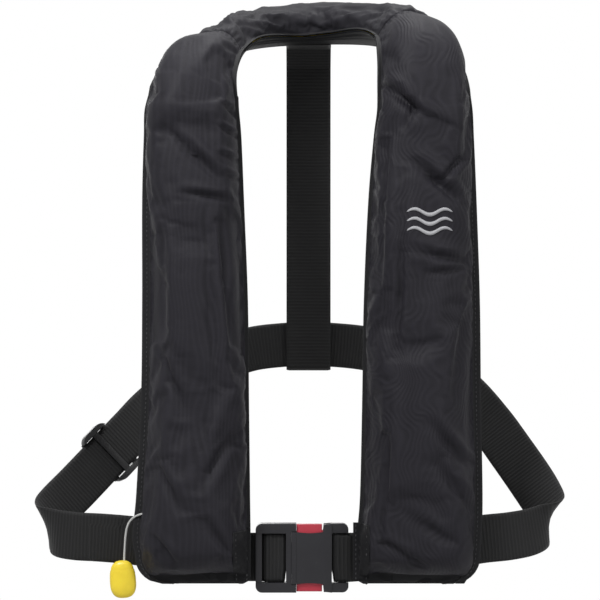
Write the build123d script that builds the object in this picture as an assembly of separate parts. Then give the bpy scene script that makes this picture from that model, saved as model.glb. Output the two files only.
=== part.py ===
from build123d import *
import math
import os

# Inflatable life jacket, packed state, as worn.  Millimetres.
# Origin at the centre of the wearer's neck, +X to the wearer's left, -Y to the front, +Z up.

# ---------------------------------------------------------------- driving dimensions
CHEST_Y = -98.0          # plane of the chest panels' backs
CLOTH = 1.2              # cover cloth thickness
KEEPER_SUNK = 0.2        # belt keepers are sewn this far into the backs
FLANGE = 9.0             # flat rim outside the padding
FLANGE_TOP = 4.0         # height of the rim above the back of the panel
CLOSURE = (1.4, 2.5)     # hook-and-loop strip, lowest and highest level inside the rim

WEBBING = 45.0           # width of every strap
STRAP = 1.8              # webbing thickness

BUCKLE_Z = -490.0
BUCKLE_FRONT = -96.0
BUCKLE_BACK = -82.4
PLATE = 2.2              # walls of the buckle housing
HALF_BUCKLE = 32.0       # half height of the buckle
WINDOW = 23.0            # half height of its strap windows

CYLINDER_X = -99.0       # gas cylinder and inflator share this axis
INNER_Y = CHEST_Y - 22.0 # middle of the parts inside the lobes
CYLINDER_R = 15.5
CYLINDER_BOTTOM = -452.0
CYLINDER_LENGTH = 137.0
LEVER_PIVOT = (-108.0, -477.0)   # X, Z
ORAL_X = 110.0

SLIDER_AT = Vector(-190.0, 7.3, -398.7)
SLIDER_ALONG = Vector(-66.6, -50.0, -70.9).normalized()
SLIDER_ACROSS = Vector(0.679, 0.125, -0.724)

CORD_D = 2.0
CORD_SLIT = (-450.0, 16.0)       # middle height and length of the slit in the rim

# Each station of the horseshoe: middle of the back panel, width, padding height, outward normal.
# Chest stations are given by height, inner edge, outer edge and padding height.
RIGHT_CHEST = [
    (-513.0, 54, 134, 8), (-497.0, 50.5, 154.0, 38), (-470.0, 50.5, 160, 46), (-430.0, 51, 156.5, 48),
    (-340.0, 52, 152, 48), (-250.0, 53, 151, 48), (-160.0, 56.5, 151, 47), (-100.0, 59, 149.5, 46),
    (-68.0, 61.5, 147.5, 45),
]
LEFT_CHEST = [
    (-513.0, 52, 148, 8), (-497.0, 47, 159, 38), (-470.0, 48, 163.5, 46), (-430.0, 51, 164.5, 48),
    (-340.0, 53, 163, 48), (-250.0, 54.5, 162, 48), (-160.0, 58.5, 159, 47), (-100.0, 63.5, 156.5, 46),
    (-68.0, 67, 154.5, 45),
]
RIGHT_SHOULDER = [
    (Vector(-100, -84.5, -34), 77, 42, Vector(-0.25, -0.68, 0.69)),
    (Vector(-88, -54, -20), 67, 38, Vector(-0.35, -0.10, 0.93)),
]
COLLAR = [
    (Vector(-69, -10, -5), 61, 36, Vector(-0.33, 0.10, 0.93)),
    (Vector(-38, 36, 6), 60, 36, Vector(-0.15, 0.05, 0.99)),
    (Vector(2, 53, 9.5), 60, 37, Vector(0.00, 0.00, 1.00)),
    (Vector(44, 37, 9), 60, 38, Vector(0.10, 0.03, 0.99)),
    (Vector(78, -8, 0), 64, 38, Vector(0.30, 0.10, 0.95)),
]
LEFT_SHOULDER = [
    (Vector(97, -54, -12), 71, 40, Vector(0.35, -0.10, 0.93)),
    (Vector(107.5, -84.5, -29), 83, 43, Vector(0.25, -0.68, 0.69)),
]

# Waist belt from the wearer's left, round the back, to the wearer's right:
# middle of the webbing and the direction of its width, pointing down.
DOWN = (0, 0, -1)
BELT = [
    ((60, -86, -490), DOWN), ((84, -86, -487), DOWN), ((110, -86, -483), DOWN),
    ((138, -85.4, -478), DOWN), ((165.4, -84, -473.5), DOWN), ((192, -80.5, -471), DOWN),
    ((214, -72.5, -467.5), (-0.1, 0, -1)), ((228.5, -62, -461.5), (-0.2, 0, -1)),
    ((232, -51, -452.5), (-0.35, 0.05, -0.93)), ((226, -39.5, -438.5), (-0.55, 0.08, -0.83)),
    ((215, -26, -420), (-0.72, 0.08, -0.68)), ((199, -9.5, -396), (-0.79, 0.08, -0.6)),
    ((181.8, 8.5, -371.2), (-0.78, 0.08, -0.6)), ((158, 33, -343), (-0.65, 0.1, -0.75)),
    ((129, 62, -320.5), (-0.4, 0.1, -0.9)), ((97, 87, -307.5), (-0.15, 0.05, -1)),
    ((63, 102.5, -299.5), DOWN), ((30, 108.6, -296), DOWN), ((4, 108.6, -295.5), DOWN),
    ((-22, 108.6, -296), DOWN), ((-56, 103, -300.5), DOWN), ((-90, 87.5, -313), (0.15, 0.05, -1)),
    ((-122, 63, -333), (0.4, 0.1, -0.9)), ((-151, 36.6, -357.2), (0.679, 0.125, -0.724)),
    ((-170.5, 22, -377.9), (0.679, 0.125, -0.724)), ((-190, 7.3, -398.7), (0.679, 0.125, -0.724)),
    ((-205.2, -4.1, -414.9), (0.679, 0.125, -0.724)), ((-220.5, -15.6, -431.2), (0.679, 0.125, -0.724)),
    ((-235.5, -29, -446.5), (0.6, 0.1, -0.8)), ((-244, -42, -457), (0.42, 0.05, -0.9)),
    ((-244.5, -56, -465), (0.3, 0, -0.95)), ((-234, -68.5, -469.5), (0.15, 0, -1)),
    ((-215, -77.5, -471.5), DOWN), ((-190, -82, -472.3), DOWN), ((-161, -85, -474.5), DOWN),
    ((-130, -86, -479), DOWN), ((-100, -86, -483.5), DOWN),
]

# Pull cord from the lever's tip, out through the slit in the rim, down to the toggle.
CORD = [
    (-119.4, -119.5, -446), (-135, -111.5, -446), (-152, -103.4, -447.6), (-161.5, -101.6, -452.8),
    (-165.8, -101.6, -462), (-167, -101.8, -477), (-167.6, -102, -491.4),
]
TOGGLE = (24.5, 35.0, 13.0)      # width, height, thickness
TOGGLE_LEAN = -4.0


# ---------------------------------------------------------------- helpers
def box(x, y, z):
    """A block from lowest and highest values on each axis."""
    middle = Vector(x[0] + x[1], y[0] + y[1], z[0] + z[1]) / 2
    return Pos(middle) * Box(abs(x[1] - x[0]), abs(y[1] - y[0]), abs(z[1] - z[0]))


def rod(start, along, radius, length):
    """A round bar that starts at a point and runs along a direction."""
    return extrude(Plane(origin=start, z_dir=along) * Circle(radius), length)


def stations(chest, side):
    """Chest stations as middle, width, height and normal."""
    return [(Vector(side * (inner + outer) / 2, CHEST_Y, z), outer - inner, height, Vector(0, -1, 0))
            for z, inner, outer, height in chest]


RIGHT = stations(RIGHT_CHEST, -1)
LEFT = stations(LEFT_CHEST, 1)
HORSESHOE = RIGHT + RIGHT_SHOULDER + COLLAR + LEFT_SHOULDER + LEFT[::-1]
RIGHT_SEAM = len(RIGHT) + 1
LEFT_SEAM = RIGHT_SEAM + len(COLLAR) + 1


def section_plane(index):
    """Plane across the horseshoe: x outward from the neck, y away from the wearer."""
    before = HORSESHOE[max(index - 1, 0)][0]
    after = HORSESHOE[min(index + 1, len(HORSESHOE) - 1)][0]
    along = (after - before).normalized()
    middle, _, _, normal = HORSESHOE[index]
    if middle.Y == CHEST_Y:
        along = Vector(0, 0, math.copysign(1, along.Z))
    return Plane(origin=middle, x_dir=normal.cross(along).normalized(), z_dir=along)


def crown(half, foot, top):
    """Padded outline from one edge over the top to the other."""
    shares = (-1.0, -0.86, -0.5, 0.0, 0.5, 0.86, 1.0)
    return [(half * s, foot + (top - foot) * (1 - abs(s) ** 3) ** 0.6) for s in shares]


def cover_profile(width, height):
    """Front cloth: flat rims with the padded crown between them."""
    half = width / 2
    outer = crown(half - FLANGE, FLANGE_TOP, height)
    inner = crown(half - FLANGE - 1.2, CLOSURE[1] + 0.1, max(height - CLOTH, FLANGE_TOP - 0.5))
    under = inner[0][1]
    return make_face([
        Polyline((-half + FLANGE + 1.2, under), (-half, under), (-half, FLANGE_TOP), outer[0]),
        Spline(outer),
        Polyline(outer[-1], (half, FLANGE_TOP), (half, under), inner[-1]),
        Spline(inner[::-1]),
    ])


def panel_profile(width, height):
    """Back cloth, against the wearer."""
    return Pos(0, CLOTH / 2) * Rectangle(width, CLOTH)


def closure_profile(width, height):
    """Hook-and-loop strip under the outer rim."""
    low, high = CLOSURE
    return Pos(width / 2 - FLANGE / 2, (low + high) / 2) * Rectangle(FLANGE - 1, high - low)


def bladder_profile(width, height):
    """Folded air bladder under the front cloth."""
    outline = crown(width / 2 - 15, 3.0, height - 4.0)
    return make_face([Spline(outline), Line(outline[-1], outline[0])])


def along_horseshoe(profile, first, last):
    """Loft a profile through the stations from first to last."""
    faces = []
    for index in range(first, last + 1):
        width, height = HORSESHOE[index][1:3]
        faces.append(section_plane(index) * profile(width, height))
    return loft(faces, ruled=True)


def webbing(frames):
    """Flat strap lofted through middles, each with the direction of its width."""
    faces = []
    for index, (middle, across) in enumerate(frames):
        before = Vector(frames[max(index - 1, 0)][0])
        after = Vector(frames[min(index + 1, len(frames) - 1)][0])
        along = (after - before).normalized()
        across = Vector(across)
        across = (across - along * across.dot(along)).normalized()
        faces.append(Plane(origin=middle, x_dir=across, z_dir=along) * Rectangle(WEBBING, STRAP))
    runs = [loft([first, second], ruled=True) for first, second in zip(faces, faces[1:])]
    return runs[0] + runs[1:]


def folded_strap(points, radius, plane):
    """Flat strap that turns in one plane only, through rounded corners."""
    path = plane * FilletPolyline(*points, radius=radius)
    section = Plane(origin=path @ 0, x_dir=plane.z_dir, z_dir=path % 0) * Rectangle(WEBBING, STRAP)
    return sweep(section, path=path)


def mirrored_height(shape):
    """The same shape on the other side of the buckle's middle."""
    return mirror(shape, about=Plane(origin=(0, 0, BUCKLE_Z), z_dir=(0, 0, 1)))


def buckle_plate(outline, low, high):
    """Outline of X and height above the buckle's middle, between two Y levels."""
    plane = Plane(origin=(0, high, BUCKLE_Z), x_dir=(1, 0, 0), z_dir=(0, -1, 0))
    return extrude(plane * make_face(outline), high - low)


# ---------------------------------------------------------------- cloth
def cord_slit():
    middle, length = CORD_SLIT
    return box((-172, -138), (CHEST_Y - 11, CHEST_Y - CLOTH - 0.1), (middle - length / 2, middle + length / 2))


def bladder():
    """Horseshoe bladder with pockets for the inflator and for the oral tube."""
    body = along_horseshoe(bladder_profile, 1, len(HORSESHOE) - 2)
    floor = CHEST_Y - 5
    body -= box((-150, -70), (floor - 60, floor), (-520, -298))
    body -= box((ORAL_X - 18, ORAL_X + 18), (floor - 60, floor), (-345, -92))
    return body


def belt_keeper(side):
    """Cloth bridge on a chest panel's back that the belt runs through."""
    middle = side * 128
    x = (middle - 14, middle + 14)
    sewn = CHEST_Y - KEEPER_SUNK
    return box(x, (sewn, -79.4), (-510, -448)) - box(x, (sewn, -80.6), (-508.8, -449.2))


def keeper_recess(side):
    """Pressed-down foot of a back panel, where its belt keeper is sewn on."""
    return box((side * 100 - 80, side * 100 + 80), (CHEST_Y - KEEPER_SUNK, CHEST_Y + 1), (-520, -440))


# ---------------------------------------------------------------- straps
def back_strap():
    """From under the collar down the back, folded round the belt and sewn to itself."""
    side = Plane(origin=(4, 0, 0), x_dir=(0, 1, 0), z_dir=(1, 0, 0))
    points = [(62, 6.2), (83, 4.4), (98, -14), (104.2, -60), (104.2, -321), (113, -321), (113, -264),
              (106.6, -250), (106.6, -228)]
    return folded_strap(points, 3.6, side)


def waist_belt():
    """Sewn round the bar of the buckle housing, then round the wearer."""
    flat = Plane(origin=(0, 0, BUCKLE_Z), x_dir=(1, 0, 0), z_dir=(0, 0, 1))
    points = [(74, -83.8), (27.4, -83.8), (27.4, -91.6), (41, -91.6), (52, -86), (60, -86)]
    return folded_strap(points, 2.0, flat) + webbing(BELT)


def buckle_tab():
    """Short strap on the belt's end, folded round the middle bar of the buckle's other half."""
    flat = Plane(origin=(0, 0, BUCKLE_Z), x_dir=(1, 0, 0), z_dir=(0, 0, 1))
    points = [(-52, -86), (-37.3, -86), (-37.3, -92.1), (-19.6, -92.1), (-19.6, -83.8), (-66, -83.8)]
    run = [((-140, -83.7, -477.6), DOWN), ((-118, -83.7, -480.8), DOWN), ((-98, -83.8, -483.8), DOWN),
           ((-80, -84.9, -486.6), DOWN), ((-64, -86, -489), DOWN), ((-52, -86, -490), DOWN)]
    return folded_strap(points, 2.0, flat) + webbing(run)


# ---------------------------------------------------------------- buckle
def buckle_housing():
    """Two plates joined by ribs, posts and an end wall, with a strap bar behind."""
    half = [
        Line((-12.2, 0), (-12.2, 24.2)), Line((-12.2, 24.2), (-7.8, 24.2)),
        ThreePointArc((-7.8, 24.2), (4.4, 23.2), (16.6, 24.2)), Line((16.6, 24.2), (17.4, 31.4)),
        Line((17.4, 31.4), (19.6, 31.4)), Line((19.6, 31.4), (24.9, HALF_BUCKLE)),
        Line((24.9, HALF_BUCKLE), (24.9, 0)), Line((24.9, 0), (-12.2, 0)),
    ]
    inside = (BUCKLE_FRONT + PLATE, BUCKLE_BACK - PLATE)
    body = buckle_plate(half, BUCKLE_FRONT, BUCKLE_FRONT + PLATE)
    body += buckle_plate(half, BUCKLE_BACK - PLATE, BUCKLE_BACK)
    body += box((-12.2, -8.4), (BUCKLE_FRONT - 0.8, BUCKLE_FRONT), (BUCKLE_Z, BUCKLE_Z + 24.2))
    body += box((-11.5, 19), inside, (BUCKLE_Z + 14.6, BUCKLE_Z + 16.6))
    body += box((17.4, 19.6), inside, (BUCKLE_Z + 26.6, BUCKLE_Z + 31))
    body += box((23.0, 24.9), inside, (BUCKLE_Z, BUCKLE_Z + HALF_BUCKLE))
    rail = [
        Line((24.9, 23.4), (24.9, HALF_BUCKLE)), Line((24.9, HALF_BUCKLE), (34, HALF_BUCKLE)),
        ThreePointArc((34, HALF_BUCKLE), (38.6, 30.4), (40.4, 26)), Line((40.4, 26), (40.4, 23.4)),
        Line((40.4, 23.4), (24.9, 23.4)),
    ]
    body += buckle_plate(rail, -94.0, -84.8)
    body += box((30.4, 38.4), (-89.8, -86.4), (BUCKLE_Z, BUCKLE_Z + 24))
    return body + mirrored_height(body)


def buckle_male_frame():
    """Strap window with a middle bar, and a tongue that guides the frame into the housing."""
    def bars(x, y):
        return box(x, y, (BUCKLE_Z - WINDOW, BUCKLE_Z + WINDOW))
    body = box((-46, -12.6), (BUCKLE_FRONT, BUCKLE_BACK), (BUCKLE_Z - HALF_BUCKLE, BUCKLE_Z + HALF_BUCKLE))
    corners = [e for e in body.edges().filter_by(Axis.Y) if e.center().X < -40]
    body = fillet(corners, 6)
    body -= bars((-50, -17.7), (BUCKLE_FRONT - 5, BUCKLE_BACK + 5))
    body += bars((-46, -40.2), (-94.5, -87.4))
    body += bars((-34.4, -22.6), (-90.6, -87.6))
    lug = box((-12.6, -8.2), (BUCKLE_FRONT, BUCKLE_BACK), (BUCKLE_Z + 24.7, BUCKLE_Z + HALF_BUCKLE))
    body += lug + mirrored_height(lug)
    tongue = box((-12.6, 14), (BUCKLE_FRONT + PLATE + 0.4, BUCKLE_BACK - PLATE - 0.4),
                 (BUCKLE_Z - 14, BUCKLE_Z + 14))
    return body + tongue


def release_arm():
    """Upper springy arm: stem, press pad on the outside, hook at the tip."""
    outline = Polyline((-12.2, 18.8), (-12.2, 22.4), (-7.6, 22.4), (-7.6, 31.2), (15.8, 31.2), (15.8, 25.4),
                       (19.9, 25.4), (19.9, 29.4), (21.8, 26.8), (21.8, 23.8), (-7.6, 18.8), close=True)
    clearance = PLATE + 0.3
    return buckle_plate(outline.edges(), BUCKLE_FRONT + clearance, BUCKLE_BACK - clearance)


def belt_slider():
    """Outer bars behind the webbing, middle bar in front, rounded end rails."""
    lie = Plane(origin=SLIDER_AT, x_dir=SLIDER_ACROSS, z_dir=SLIDER_ALONG.cross(SLIDER_ACROSS))
    ring = extrude(RectangleRounded(57.5, 33, 10), 4.6, both=True)
    ring -= Box(46.6, 40, 20)
    for side in (-1, 1):
        ring += Pos(0, side * 13.3, -2.9) * Box(48, 5.4, 3.2)
    ring += Pos(0, 0, 2.9) * Box(48, 6.4, 3.2)
    return lie * ring


# ---------------------------------------------------------------- inflator
def inflator_body():
    """Block with a cylinder socket, a pin bore and a slot for the lever."""
    body = box((-116, -82), (INNER_Y - 14, INNER_Y + 14), (-485, -440))
    body = fillet(body.edges().filter_by(Axis.Z), 4)
    body -= rod((CYLINDER_X, INNER_Y, -455.4), (0, 0, 1), 6.6, 20)
    body -= rod((CYLINDER_X, INNER_Y, -475), (0, 0, 1), 2.1, 25)
    slot = (INNER_Y - 2.3, INNER_Y + 2.3)
    body -= box((-120, -99.5), slot, (-490, -469.9))
    body -= box((-120, -105.7), slot, (-475, -430))
    body -= rod((LEVER_PIVOT[0], INNER_Y - 9, LEVER_PIVOT[1]), (0, 1, 0), 1.5, 18)
    body -= rod((-88, INNER_Y - 20, -460), (0, 1, 0), 3.1, 40)
    return body


def co2_cylinder():
    """Round gas bottle with a domed end and a threaded neck."""
    neck, shoulder = 13.0, 14.0
    start = (CYLINDER_X, INNER_Y, CYLINDER_BOTTOM)
    bottle = Pos(0, 0, neck + shoulder / 2) * Cone(6.4, CYLINDER_R, shoulder)
    barrel = CYLINDER_LENGTH - neck - shoulder
    tube = Pos(0, 0, neck + shoulder + barrel / 2) * Cylinder(CYLINDER_R, barrel)
    tube = fillet(tube.edges().filter_by(GeomType.CIRCLE).sort_by(Axis.Z)[-1], 10)
    bottle += tube + Pos(0, 0, neck / 2) * Cylinder(6.4, neck)
    return Pos(start) * (bottle - Cylinder(3, 4))


def seal_washer():
    start = (CYLINDER_X, INNER_Y, -455.3)
    return rod(start, (0, 0, 1), 6.0, 2.2) - rod(start, (0, 0, 1), 2.5, 2.2)


def manual_lever():
    """Flat lever: round cam at the pivot, arm up to the cord hole."""
    x, z = LEVER_PIVOT
    reach, tilt, half = 30.0, 14.0, 3.8
    lever = rod((x, INNER_Y - 2, z), (0, 1, 0), 6.6, 4)
    arm = box((-half, half), (-2, 2), (0, reach))
    lever += Pos(x, INNER_Y, z) * Rot(0, -tilt, 0) * arm
    lever -= rod((x, INNER_Y - 3, z), (0, 1, 0), 1.56, 6)
    return lever


def piercing_pin():
    start = (CYLINDER_X, INNER_Y, -469.8)
    return rod(start, (0, 0, 1), 2.0, 6.8) + rod(start, (0, 0, 1), 1.0, 14.6)


def coil_spring(x, y, low, length, mean_radius, wire, turns):
    path = Pos(x, y, low + wire) * Helix((length - 2 * wire) / turns, length - 2 * wire, mean_radius)
    return sweep(Plane(origin=path @ 0, z_dir=path % 0) * Circle(wire), path=path, is_frenet=True)


def valve_stem():
    """Stud that joins the inflator to the bladder."""
    flange = rod((-88, CHEST_Y - 5.1, -460), (0, -1, 0), 11, 2.6)
    return flange + rod((-88, CHEST_Y - 5.1, -460), (0, -1, 0), 3.0, 34.5)


def cap_nut():
    start = (-88, INNER_Y - 14.1, -460)
    nut = extrude(Plane(origin=start, z_dir=(0, -1, 0)) * RegularPolygon(5.8, 6), 4.4)
    return nut - rod(start, (0, -1, 0), 3.1, 3.8)


# ---------------------------------------------------------------- oral inflation
def oral_flange():
    """Round base on the bladder with a short upstand for the tube."""
    base = rod((ORAL_X, CHEST_Y - 5.1, -258), (0, -1, 0), 15, 2.4)
    return base + rod((ORAL_X, CHEST_Y - 5.1, -258), (0, -1, 0), 8, 26)


def oral_tube():
    start = (ORAL_X, INNER_Y, -249.6)
    return rod(start, (0, 0, 1), 6.5, 99) - rod(start, (0, 0, 1), 4.5, 99)


def oral_valve_body():
    start = (ORAL_X, INNER_Y, -150.4)
    body = rod(start, (0, 0, 1), 8.0, 24)
    body -= rod(start, (0, 0, 1), 3.2, 24)
    return body - rod((ORAL_X, INNER_Y, -140), (0, 0, 1), 5.2, 9)


def valve_poppet():
    stem = rod((ORAL_X, INNER_Y, -138), (0, 0, 1), 2.4, 13)
    return stem + rod((ORAL_X, INNER_Y, -134.2), (0, 0, 1), 4.9, 3)


def valve_dust_cap():
    cup = rod((ORAL_X, INNER_Y, -136), (0, 0, 1), 10, 15)
    return cup - rod((ORAL_X, INNER_Y, -136), (0, 0, 1), 8.1, 13)


def whistle():
    body = box((ORAL_X - 8, ORAL_X + 8), (INNER_Y - 6, INNER_Y + 6), (-332, -288))
    body = fillet(body.edges().filter_by(Axis.Z), 3)
    body -= box((ORAL_X - 5.5, ORAL_X + 5.5), (INNER_Y - 4, INNER_Y + 4), (-330, -286))
    return body


def whistle_loop():
    """Elastic loop that holds the whistle on the bladder."""
    outer = box((ORAL_X - 10, ORAL_X + 10), (INNER_Y - 8, INNER_Y + 8), (-315, -305))
    inner = box((ORAL_X - 8.6, ORAL_X + 8.6), (INNER_Y - 6.6, INNER_Y + 6.6), (-316, -304))
    return outer - inner


# ---------------------------------------------------------------- pull cord
def pull_cord():
    points = [Vector(p) for p in CORD]
    radii = []
    for before, here, after in zip(points, points[1:], points[2:]):
        turn = (here - before).get_angle(after - here)
        shorter = min((here - before).length, (after - here).length)
        radii.append(0.45 * shorter / math.tan(math.radians(turn / 2)))
    path = FilletPolyline(*points, radius=radii)
    tube = sweep(Plane(origin=path @ 0, z_dir=path % 0) * Circle(CORD_D / 2), path=path)
    expected = math.pi * (CORD_D / 2) ** 2 * path.length
    print("cord radii", [round(r, 1) for r in radii], "length", round(path.length, 1),
          "volume ratio", round(tube.volume / expected, 4))
    return tube


def pull_toggle():
    """Rounded handle with a cord socket in its top."""
    width, height, thickness = TOGGLE
    body = extrude(Plane.XZ * RectangleRounded(width, height, 10), thickness / 2, both=True)
    body = fillet(body.edges().filter_by(lambda e: abs(abs(e.center().Y) - thickness / 2) < 0.01), 5)
    top = Vector(CORD[-1])
    return Pos(top.X - 1.2, top.Y, top.Z - height / 2 + 0.3) * Rot(0, TOGGLE_LEAN, 0) * body


# ---------------------------------------------------------------- all nodes
NODES = {
    "right_front_cover": along_horseshoe(cover_profile, 0, RIGHT_SEAM) - cord_slit(),
    "right_back_panel": along_horseshoe(panel_profile, 0, RIGHT_SEAM) - keeper_recess(-1),
    "right_closure_strip": along_horseshoe(closure_profile, 0, RIGHT_SEAM) - cord_slit(),
    "collar_cover": along_horseshoe(cover_profile, RIGHT_SEAM, LEFT_SEAM),
    "collar_back_panel": along_horseshoe(panel_profile, RIGHT_SEAM, LEFT_SEAM),
    "collar_closure_strip": along_horseshoe(closure_profile, RIGHT_SEAM, LEFT_SEAM),
    "left_front_cover": along_horseshoe(cover_profile, LEFT_SEAM, len(HORSESHOE) - 1),
    "left_back_panel": along_horseshoe(panel_profile, LEFT_SEAM, len(HORSESHOE) - 1) - keeper_recess(1),
    "left_closure_strip": along_horseshoe(closure_profile, LEFT_SEAM, len(HORSESHOE) - 1),
    "bladder": bladder(),
    "right_belt_keeper": belt_keeper(-1),
    "left_belt_keeper": belt_keeper(1),
    "back_strap": back_strap(),
    "waist_belt": waist_belt(),
    "buckle_tab": buckle_tab(),
    "buckle_housing": buckle_housing(),
    "buckle_male_frame": buckle_male_frame(),
    "upper_release_arm": release_arm(),
    "lower_release_arm": mirrored_height(release_arm()),
    "belt_slider": belt_slider(),
    "inflator_body": inflator_body(),
    "co2_cylinder": co2_cylinder(),
    "seal_washer": seal_washer(),
    "manual_lever": manual_lever(),
    "lever_pivot_pin": rod((LEVER_PIVOT[0], INNER_Y - 9, LEVER_PIVOT[1]), (0, 1, 0), 1.5, 18),
    "piercing_pin": piercing_pin(),
    "pin_spring": coil_spring(CYLINDER_X, INNER_Y, -462.9, 7.4, 1.6, 0.25, 5),
    "valve_stem": valve_stem(),
    "cap_nut": cap_nut(),
    "status_indicator": rod((-110, INNER_Y - 14, -446), (0, -1, 0), 3, 3),
    "oral_tube_flange": oral_flange(),
    "oral_tube": oral_tube(),
    "oral_valve_body": oral_valve_body(),
    "valve_poppet": valve_poppet(),
    "valve_dust_cap": valve_dust_cap(),
    "whistle": whistle(),
    "whistle_loop": whistle_loop(),
    "pull_cord": pull_cord(),
    "pull_toggle": pull_toggle(),
}

os.makedirs("parts", exist_ok=True)
for name, shape in NODES.items():
    export_step(shape, f"parts/{name}.step")
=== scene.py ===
import math

import bmesh
import bpy
import numpy as np
from mathutils import Matrix, Vector, noise
from mathutils.bvhtree import BVHTree


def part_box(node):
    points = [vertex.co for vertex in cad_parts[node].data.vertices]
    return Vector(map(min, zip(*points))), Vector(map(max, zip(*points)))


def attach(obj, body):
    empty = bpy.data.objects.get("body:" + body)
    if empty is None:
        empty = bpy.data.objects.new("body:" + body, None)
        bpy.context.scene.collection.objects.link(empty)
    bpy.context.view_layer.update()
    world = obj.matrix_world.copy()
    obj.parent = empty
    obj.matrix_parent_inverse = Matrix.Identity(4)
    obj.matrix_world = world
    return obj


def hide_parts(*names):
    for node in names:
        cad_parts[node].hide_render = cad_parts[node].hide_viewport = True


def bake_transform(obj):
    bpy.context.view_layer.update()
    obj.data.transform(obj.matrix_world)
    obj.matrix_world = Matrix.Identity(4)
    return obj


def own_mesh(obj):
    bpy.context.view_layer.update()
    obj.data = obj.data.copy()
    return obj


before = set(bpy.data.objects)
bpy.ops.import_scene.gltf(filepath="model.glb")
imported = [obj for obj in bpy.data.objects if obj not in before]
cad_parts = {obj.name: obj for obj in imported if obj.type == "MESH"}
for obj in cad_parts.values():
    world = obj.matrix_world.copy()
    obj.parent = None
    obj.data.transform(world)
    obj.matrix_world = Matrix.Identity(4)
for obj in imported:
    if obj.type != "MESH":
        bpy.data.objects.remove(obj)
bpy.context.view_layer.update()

MM = 0.001

# ---------------------------------------------------------------- sizes, in millimetres
CHEST_Y = -98.0
FLANGE = 9.0
FLANGE_TOP = 4.0
RIM_IN = 3.5
RIM_OUT = 7.5
RIM_COUNT = 4
CROWN_COUNT = 46
ROW_STEP = 2.6
END_DEPTH = 38.0
CORNER_IN = 7
CORNER_OUT = 24
WEBBING = 45.0
STRAP = 1.8
RIB_PITCH = 3.3
STITCH = 2.6
STITCH_GAP = 1.7
THREAD = 0.42
BUCKLE_Z = -490.0
DOWN = (0, 0, -1)
# Rays are cast back at the cloth from this Y.
IN_FRONT = -300

# Chest panels: z, inner edge, outer edge, padding height.
RIGHT_CHEST = [
    (-513, 50.5, 156, 47), (-470, 50.5, 160, 47), (-430, 51, 156.5, 48), (-340, 52, 152, 48),
    (-250, 53, 151, 48), (-160, 56.5, 151, 47), (-100, 59, 149.5, 46), (-68, 61.5, 147.5, 45),
]
LEFT_CHEST = [
    (-513, 47, 161, 47), (-470, 48, 163.5, 47), (-430, 51, 164.5, 48), (-340, 53, 163, 48),
    (-250, 54.5, 162, 48), (-160, 58.5, 159, 47), (-100, 63.5, 156.5, 46), (-68, 67, 154.5, 45),
]
# Over the shoulders and round the neck: middle of the back, width, padding height, outward normal.
OVER = [
    ((-97.5, -84.5, -38), 73, 34, (-0.16, -0.74, 0.65)), ((-82.5, -54, -24), 61, 29, (-0.34, -0.16, 0.93)),
    ((-64, -10, -9), 58, 33, (-0.36, 0.05, 0.93)), ((-37, 34, 3), 60, 36, (-0.15, 0.02, 0.99)),
    ((2, 51, 7.5), 60, 38, (0, 0, 1)), ((44, 36, 7), 60, 38, (0.10, 0.02, 0.99)),
    ((76, -8, -1), 64, 36, (0.30, 0.06, 0.95)), ((95, -54, -13), 71, 37, (0.35, -0.12, 0.93)),
    ((106, -84.5, -30), 83, 40, (0.25, -0.70, 0.67)),
]

# Waist belt from the wearer's left, round the back, to the wearer's right.
BELT = [
    ((60, -86, -490), DOWN), ((84, -86, -487), DOWN), ((110, -86, -483), DOWN),
    ((138, -85.4, -478), DOWN), ((165.4, -84, -473.5), DOWN), ((192, -80.5, -471), DOWN),
    ((214, -72.5, -467.5), (-0.1, 0, -1)), ((228.5, -62, -461.5), (-0.2, 0, -1)),
    ((232, -51, -452.5), (-0.35, 0.05, -0.93)), ((226, -39.5, -438.5), (-0.55, 0.08, -0.83)),
    ((215, -26, -420), (-0.72, 0.08, -0.68)), ((199, -9.5, -396), (-0.79, 0.08, -0.6)),
    ((181.8, 8.5, -371.2), (-0.78, 0.08, -0.6)), ((158, 33, -343), (-0.65, 0.1, -0.75)),
    ((129, 62, -320.5), (-0.4, 0.1, -0.9)), ((97, 87, -307.5), (-0.15, 0.05, -1)),
    ((63, 102.5, -299.5), DOWN), ((30, 108.6, -296), DOWN), ((4, 108.6, -295.5), DOWN),
    ((-22, 108.6, -296), DOWN), ((-56, 103, -300.5), DOWN), ((-90, 87.5, -313), (0.15, 0.05, -1)),
    ((-122, 63, -333), (0.4, 0.1, -0.9)), ((-151, 36.6, -357.2), (0.679, 0.125, -0.724)),
    ((-170.5, 22, -377.9), (0.679, 0.125, -0.724)), ((-190, 7.3, -398.7), (0.679, 0.125, -0.724)),
    ((-205.2, -4.1, -414.9), (0.679, 0.125, -0.724)), ((-220.5, -15.6, -431.2), (0.679, 0.125, -0.724)),
    ((-235.5, -29, -446.5), (0.6, 0.1, -0.8)), ((-244, -42, -457), (0.42, 0.05, -0.9)),
    ((-244.5, -56, -465), (0.3, 0, -0.95)), ((-234, -68.5, -469.5), (0.15, 0, -1)),
    ((-215, -77.5, -471.5), DOWN), ((-190, -82, -472.3), DOWN), ((-161, -85, -474.5), DOWN),
    ((-130, -86, -479), DOWN), ((-100, -86, -483.5), DOWN),
]

# Pull cord from the lever's tip, out through the rim, down to the toggle.
CORD = [
    (-119.4, -119.5, -446), (-135, -111.5, -446), (-152, -103.4, -447.6), (-161.5, -101.6, -452.8),
    (-165.8, -101.6, -462), (-167, -101.8, -477), (-167.6, -102, -491.4),
]

WORLD_LIGHT = 0.44


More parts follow.
